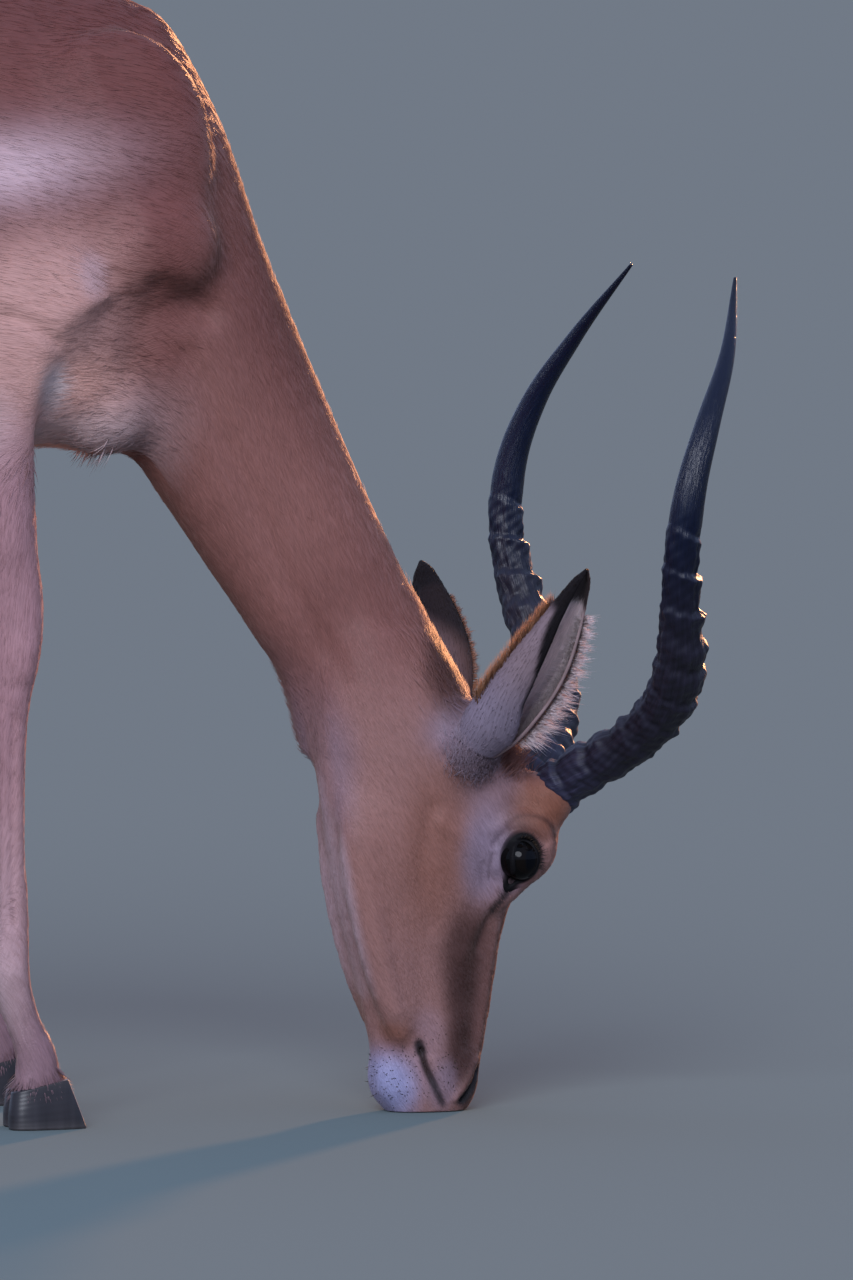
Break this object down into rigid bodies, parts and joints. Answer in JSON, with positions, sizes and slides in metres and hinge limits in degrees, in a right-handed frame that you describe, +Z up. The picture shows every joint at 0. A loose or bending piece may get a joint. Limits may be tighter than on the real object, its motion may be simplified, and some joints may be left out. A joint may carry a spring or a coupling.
{
  "type": "impala ram, grazing, life-size still model",
  "caption": "Still museum model of a grazing impala ram that stands on its hooves with its muzzle on the floor.",
  "frame": {"origin": "on the floor, under the middle of the whole animal's box", "axes": "+X towards the muzzle and horns, +Y towards the animal's left side, +Z up"},
  "size_m": [1.2628, 0.3926, 0.8534],
  "materials": {
    "coat": "short close reddish-fawn hair, sleek",
    "face_coat": "very short hair, white at chin, throat and round the eye",
    "leg_coat": "very short tan hair, paler inside",
    "tail_brush": "long soft hair, white below with a black line above",
    "ear": "short hair, black rim and tip, long pale hair in the opening",
    "horn": "dark ringed horn, smoother and glossier towards the tip",
    "hoof": "dark worn hoof horn, faintly ringed",
    "eye": "wet dark brown eye with a wide level pupil"
  },
  "bodies": {
    "root": {"ear_left": "ear", "ear_right": "ear", "eye_left": "eye", "eye_right": "eye", "head": "face_coat", "hoof_front_left_inner": "hoof", "hoof_front_left_outer": "hoof", "hoof_front_right_inner": "hoof", "hoof_front_right_outer": "hoof", "hoof_rear_left_inner": "hoof", "hoof_rear_left_outer": "hoof", "hoof_rear_right_inner": "hoof", "hoof_rear_right_outer": "hoof", "horn_left": "horn", "horn_right": "horn", "leg_front_left": "leg_coat", "leg_front_right": "leg_coat", "leg_rear_left": "leg_coat", "leg_rear_right": "leg_coat", "neck": "coat", "tail": "tail_brush", "trunk": "coat"}
  },
  "joints": []
}
